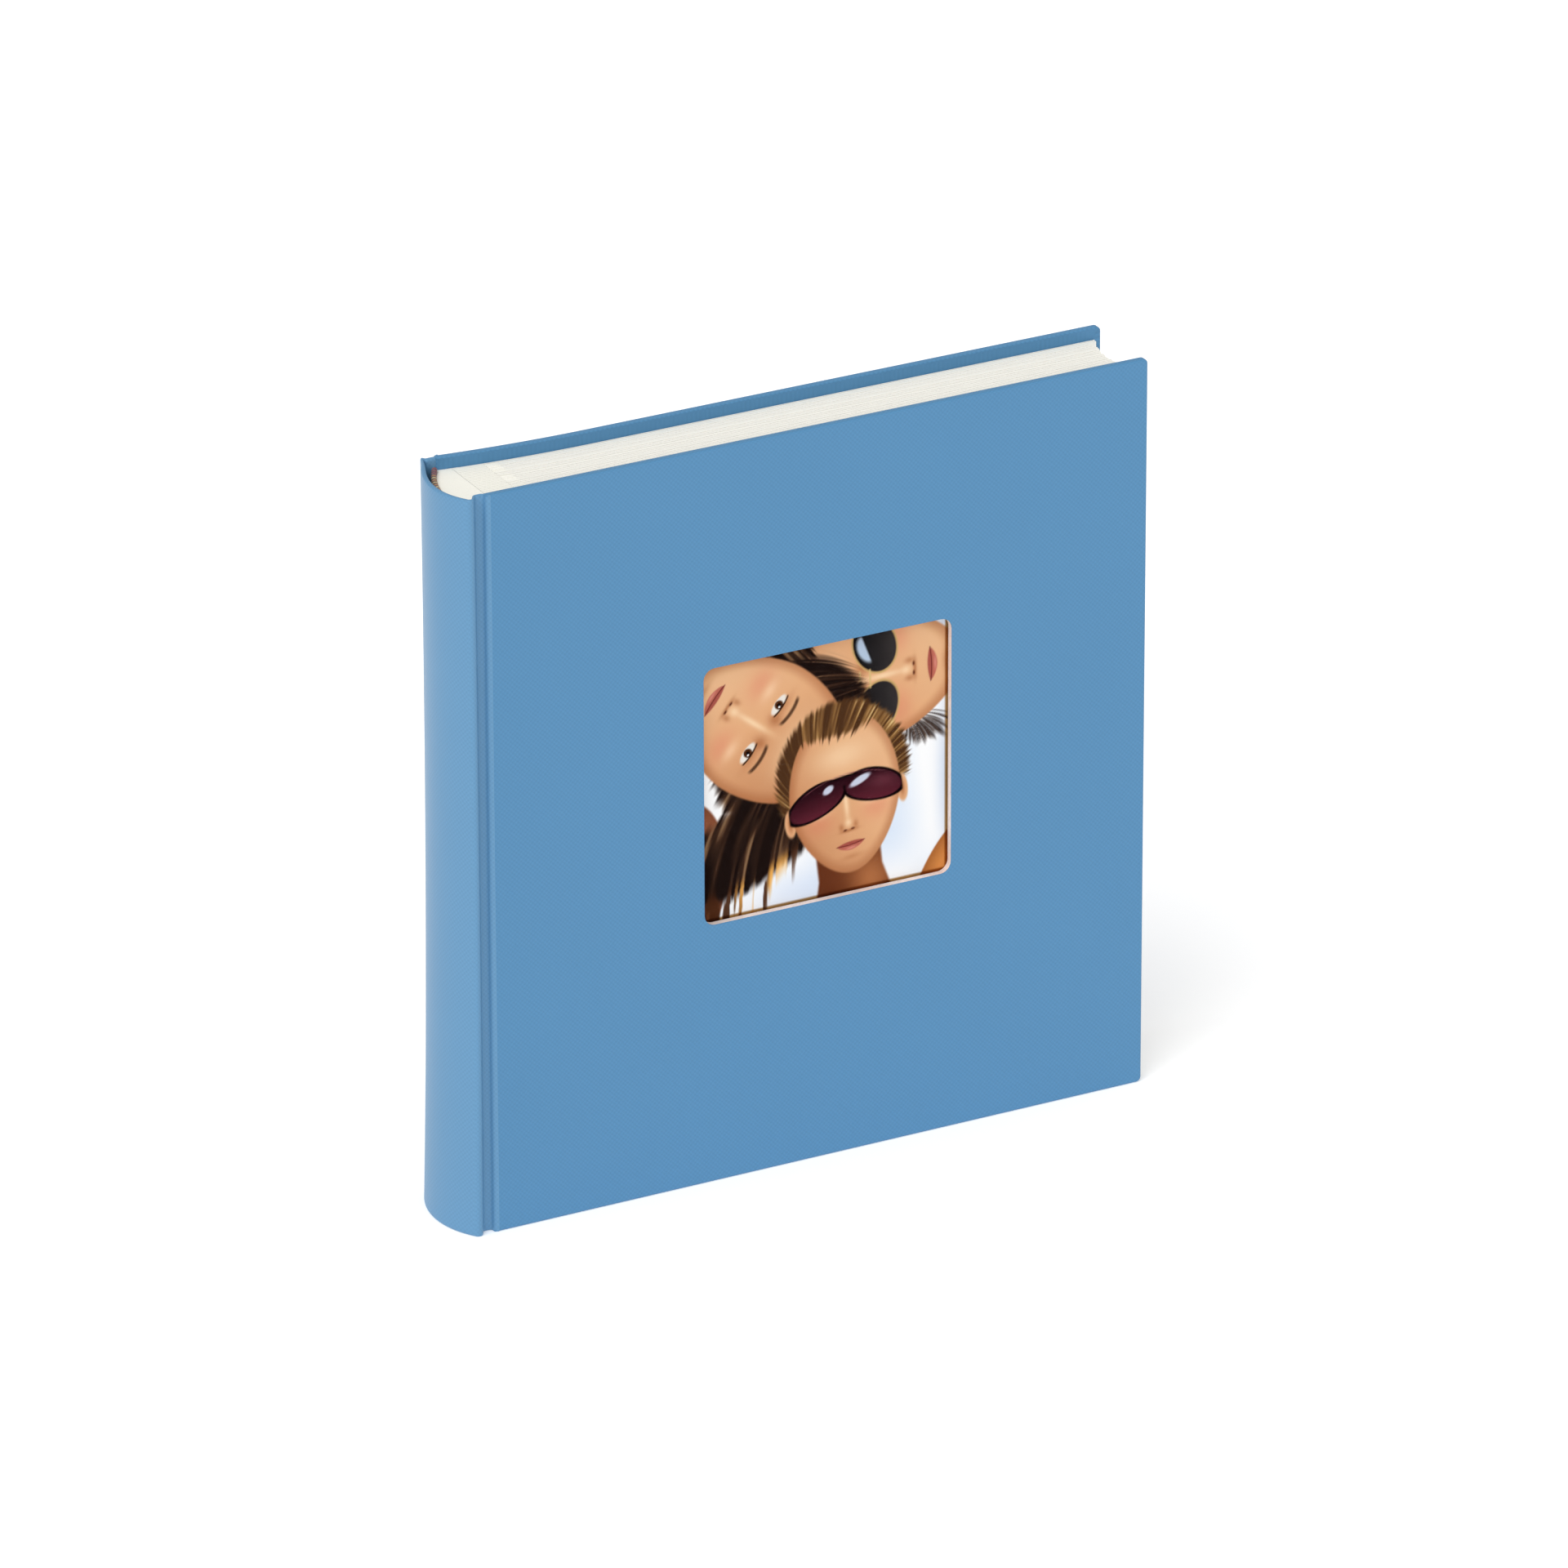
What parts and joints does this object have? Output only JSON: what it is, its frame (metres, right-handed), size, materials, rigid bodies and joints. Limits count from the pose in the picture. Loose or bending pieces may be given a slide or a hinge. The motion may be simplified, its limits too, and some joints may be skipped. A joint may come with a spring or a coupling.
{
  "type": "scrapbook album",
  "caption": "Book-bound square scrapbook album in linen-embossed covering, with a rounded hollow spine, French joints, a picture window in the front cover and cream card leaves that fan open.",
  "frame": {"origin": "under the middle of the album's box, on the surface it stands on", "axes": "+X from the spine to the fore-edge, the front cover faces -Y, +Z from tail to head"},
  "size_m": [0.2934, 0.045, 0.3],
  "materials": {
    "cover_cloth": "satin paper-backed cloth, fine linen emboss",
    "cover_board": "matt pressed board, raw die-cut edge",
    "endpaper": "matt",
    "inner_hinge": "matt, gauze under paper",
    "window_film": "clear gloss",
    "print": "gloss photographic print",
    "pocket_card": "matt",
    "spine_inlay": "matt",
    "mull": "open gauze in glue",
    "kraft_liner": "matt kraft",
    "end_band": "silk-like, striped bead",
    "guards": "matt",
    "leaf_card": "matt uncoated card"
  },
  "bodies": {
    "binding": {"spine_cloth": "cover_cloth", "spine_inlay": "spine_inlay", "front_joint_cloth": "cover_cloth", "back_joint_cloth": "cover_cloth", "front_inner_hinge": "inner_hinge", "back_inner_hinge": "inner_hinge", "guard_strips": "guards", "spine_mull": "mull", "spine_liner": "kraft_liner", "headband": "end_band", "tailband": "end_band"},
    "front_cover": {"front_cover_cloth": "cover_cloth", "front_board": "cover_board", "front_pastedown": "endpaper", "window_film": "window_film", "photo_print": "print", "pocket_back": "pocket_card"},
    "back_cover": {"back_cover_cloth": "cover_cloth", "back_board": "cover_board", "back_pastedown": "endpaper"},
    "front_flyleaf": {"front_flyleaf": "endpaper"},
    "back_flyleaf": {"back_flyleaf": "endpaper"},
    "folio_01": {"folio_01": "leaf_card"},
    "folio_02": {"folio_02": "leaf_card"},
    "folio_03": {"folio_03": "leaf_card"},
    "folio_04": {"folio_04": "leaf_card"},
    "folio_05": {"folio_05": "leaf_card"},
    "folio_06": {"folio_06": "leaf_card"},
    "folio_07": {"folio_07": "leaf_card"},
    "folio_08": {"folio_08": "leaf_card"},
    "folio_09": {"folio_09": "leaf_card"},
    "folio_10": {"folio_10": "leaf_card"},
    "folio_11": {"folio_11": "leaf_card"},
    "folio_12": {"folio_12": "leaf_card"},
    "folio_13": {"folio_13": "leaf_card"},
    "folio_14": {"folio_14": "leaf_card"},
    "folio_15": {"folio_15": "leaf_card"},
    "folio_16": {"folio_16": "leaf_card"},
    "folio_17": {"folio_17": "leaf_card"},
    "folio_18": {"folio_18": "leaf_card"},
    "folio_19": {"folio_19": "leaf_card"},
    "folio_20": {"folio_20": "leaf_card"},
    "folio_21": {"folio_21": "leaf_card"},
    "folio_22": {"folio_22": "leaf_card"},
    "folio_23": {"folio_23": "leaf_card"},
    "folio_24": {"folio_24": "leaf_card"}
  },
  "joints": [
    {"name": "front_cover_hinge", "type": "hinge", "parent": "binding", "child": "front_cover", "pos_m": [-0.1343, -0.0227, 0], "axis": [0, 0, -1], "range_deg": [0, 179], "deforming": ["front_joint_cloth", "front_inner_hinge"]},
    {"name": "back_cover_hinge", "type": "hinge", "parent": "binding", "child": "back_cover", "pos_m": [-0.1343, 0.02339, 0], "axis": [0, 0, 1], "range_deg": [0, 179], "deforming": ["back_joint_cloth", "back_inner_hinge"]},
    {"name": "front_flyleaf_turn", "type": "hinge", "parent": "binding", "child": "front_flyleaf", "pos_m": [-0.1256, -0.01767, 0], "axis": [0, 0, -1], "range_deg": [0, 99]},
    {"name": "back_flyleaf_turn", "type": "hinge", "parent": "binding", "child": "back_flyleaf", "pos_m": [-0.1256, 0.01754, 0], "axis": [0, 0, 1], "range_deg": [0, 99]},
    {"name": "folio_01_turn", "type": "hinge", "parent": "binding", "child": "folio_01", "pos_m": [-0.1253, -0.01664, 0], "axis": [0, 0, -1], "range_deg": [0, 88]},
    {"name": "folio_02_turn", "type": "hinge", "parent": "binding", "child": "folio_02", "pos_m": [-0.1253, -0.0152, 0], "axis": [0, 0, -1], "range_deg": [0, 80.73]},
    {"name": "folio_03_turn", "type": "hinge", "parent": "binding", "child": "folio_03", "pos_m": [-0.1253, -0.01376, 0], "axis": [0, 0, -1], "range_deg": [0, 73.45]},
    {"name": "folio_04_turn", "type": "hinge", "parent": "binding", "child": "folio_04", "pos_m": [-0.1253, -0.01232, 0], "axis": [0, 0, -1], "range_deg": [0, 66.18]},
    {"name": "folio_05_turn", "type": "hinge", "parent": "binding", "child": "folio_05", "pos_m": [-0.1253, -0.01088, 0], "axis": [0, 0, -1], "range_deg": [0, 58.91]},
    {"name": "folio_06_turn", "type": "hinge", "parent": "binding", "child": "folio_06", "pos_m": [-0.1253, -0.00944, 0], "axis": [0, 0, -1], "range_deg": [0, 51.64]},
    {"name": "folio_07_turn", "type": "hinge", "parent": "binding", "child": "folio_07", "pos_m": [-0.1253, -0.008, 0], "axis": [0, 0, -1], "range_deg": [0, 44.36]},
    {"name": "folio_08_turn", "type": "hinge", "parent": "binding", "child": "folio_08", "pos_m": [-0.1253, -0.00656, 0], "axis": [0, 0, -1], "range_deg": [0, 37.09]},
    {"name": "folio_09_turn", "type": "hinge", "parent": "binding", "child": "folio_09", "pos_m": [-0.1253, -0.00512, 0], "axis": [0, 0, -1], "range_deg": [0, 29.82]},
    {"name": "folio_10_turn", "type": "hinge", "parent": "binding", "child": "folio_10", "pos_m": [-0.1253, -0.00368, 0], "axis": [0, 0, -1], "range_deg": [0, 22.55]},
    {"name": "folio_11_turn", "type": "hinge", "parent": "binding", "child": "folio_11", "pos_m": [-0.1253, -0.00224, 0], "axis": [0, 0, -1], "range_deg": [0, 15.27]},
    {"name": "folio_12_turn", "type": "hinge", "parent": "binding", "child": "folio_12", "pos_m": [-0.1253, -0.0008, 0], "axis": [0, 0, -1], "range_deg": [0, 8]},
    {"name": "folio_13_turn", "type": "hinge", "parent": "binding", "child": "folio_13", "pos_m": [-0.1253, 0.00064, 0], "axis": [0, 0, 1], "range_deg": [0, 8]},
    {"name": "folio_14_turn", "type": "hinge", "parent": "binding", "child": "folio_14", "pos_m": [-0.1253, 0.00208, 0], "axis": [0, 0, 1], "range_deg": [0, 15.27]},
    {"name": "folio_15_turn", "type": "hinge", "parent": "binding", "child": "folio_15", "pos_m": [-0.1253, 0.00352, 0], "axis": [0, 0, 1], "range_deg": [0, 22.55]},
    {"name": "folio_16_turn", "type": "hinge", "parent": "binding", "child": "folio_16", "pos_m": [-0.1253, 0.00496, 0], "axis": [0, 0, 1], "range_deg": [0, 29.82]},
    {"name": "folio_17_turn", "type": "hinge", "parent": "binding", "child": "folio_17", "pos_m": [-0.1253, 0.0064, 0], "axis": [0, 0, 1], "range_deg": [0, 37.09]},
    {"name": "folio_18_turn", "type": "hinge", "parent": "binding", "child": "folio_18", "pos_m": [-0.1253, 0.00784, 0], "axis": [0, 0, 1], "range_deg": [0, 44.36]},
    {"name": "folio_19_turn", "type": "hinge", "parent": "binding", "child": "folio_19", "pos_m": [-0.1253, 0.00928, 0], "axis": [0, 0, 1], "range_deg": [0, 51.64]},
    {"name": "folio_20_turn", "type": "hinge", "parent": "binding", "child": "folio_20", "pos_m": [-0.1253, 0.01072, 0], "axis": [0, 0, 1], "range_deg": [0, 58.91]},
    {"name": "folio_21_turn", "type": "hinge", "parent": "binding", "child": "folio_21", "pos_m": [-0.1253, 0.01216, 0], "axis": [0, 0, 1], "range_deg": [0, 66.18]},
    {"name": "folio_22_turn", "type": "hinge", "parent": "binding", "child": "folio_22", "pos_m": [-0.1253, 0.0136, 0], "axis": [0, 0, 1], "range_deg": [0, 73.45]},
    {"name": "folio_23_turn", "type": "hinge", "parent": "binding", "child": "folio_23", "pos_m": [-0.1253, 0.01504, 0], "axis": [0, 0, 1], "range_deg": [0, 80.73]},
    {"name": "folio_24_turn", "type": "hinge", "parent": "binding", "child": "folio_24", "pos_m": [-0.1253, 0.01648, 0], "axis": [0, 0, 1], "range_deg": [0, 88]}
  ],
  "couplings": [
    {"joint": "front_flyleaf_turn", "follows": "front_cover_hinge", "ratio": 0.55307},
    {"joint": "back_flyleaf_turn", "follows": "back_cover_hinge", "ratio": 0.55307},
    {"joint": "folio_01_turn", "follows": "front_cover_hinge", "ratio": 0.49162},
    {"joint": "folio_02_turn", "follows": "front_cover_hinge", "ratio": 0.45099},
    {"joint": "folio_03_turn", "follows": "front_cover_hinge", "ratio": 0.41036},
    {"joint": "folio_04_turn", "follows": "front_cover_hinge", "ratio": 0.36973},
    {"joint": "folio_05_turn", "follows": "front_cover_hinge", "ratio": 0.3291},
    {"joint": "folio_06_turn", "follows": "front_cover_hinge", "ratio": 0.28847},
    {"joint": "folio_07_turn", "follows": "front_cover_hinge", "ratio": 0.24784},
    {"joint": "folio_08_turn", "follows": "front_cover_hinge", "ratio": 0.20721},
    {"joint": "folio_09_turn", "follows": "front_cover_hinge", "ratio": 0.16658},
    {"joint": "folio_10_turn", "follows": "front_cover_hinge", "ratio": 0.12595},
    {"joint": "folio_11_turn", "follows": "front_cover_hinge", "ratio": 0.085324},
    {"joint": "folio_12_turn", "follows": "front_cover_hinge", "ratio": 0.044693},
    {"joint": "folio_13_turn", "follows": "back_cover_hinge", "ratio": 0.044693},
    {"joint": "folio_14_turn", "follows": "back_cover_hinge", "ratio": 0.085324},
    {"joint": "folio_15_turn", "follows": "back_cover_hinge", "ratio": 0.12595},
    {"joint": "folio_16_turn", "follows": "back_cover_hinge", "ratio": 0.16658},
    {"joint": "folio_17_turn", "follows": "back_cover_hinge", "ratio": 0.20721},
    {"joint": "folio_18_turn", "follows": "back_cover_hinge", "ratio": 0.24784},
    {"joint": "folio_19_turn", "follows": "back_cover_hinge", "ratio": 0.28847},
    {"joint": "folio_20_turn", "follows": "back_cover_hinge", "ratio": 0.3291},
    {"joint": "folio_21_turn", "follows": "back_cover_hinge", "ratio": 0.36973},
    {"joint": "folio_22_turn", "follows": "back_cover_hinge", "ratio": 0.41036},
    {"joint": "folio_23_turn", "follows": "back_cover_hinge", "ratio": 0.45099},
    {"joint": "folio_24_turn", "follows": "back_cover_hinge", "ratio": 0.49162}
  ]
}
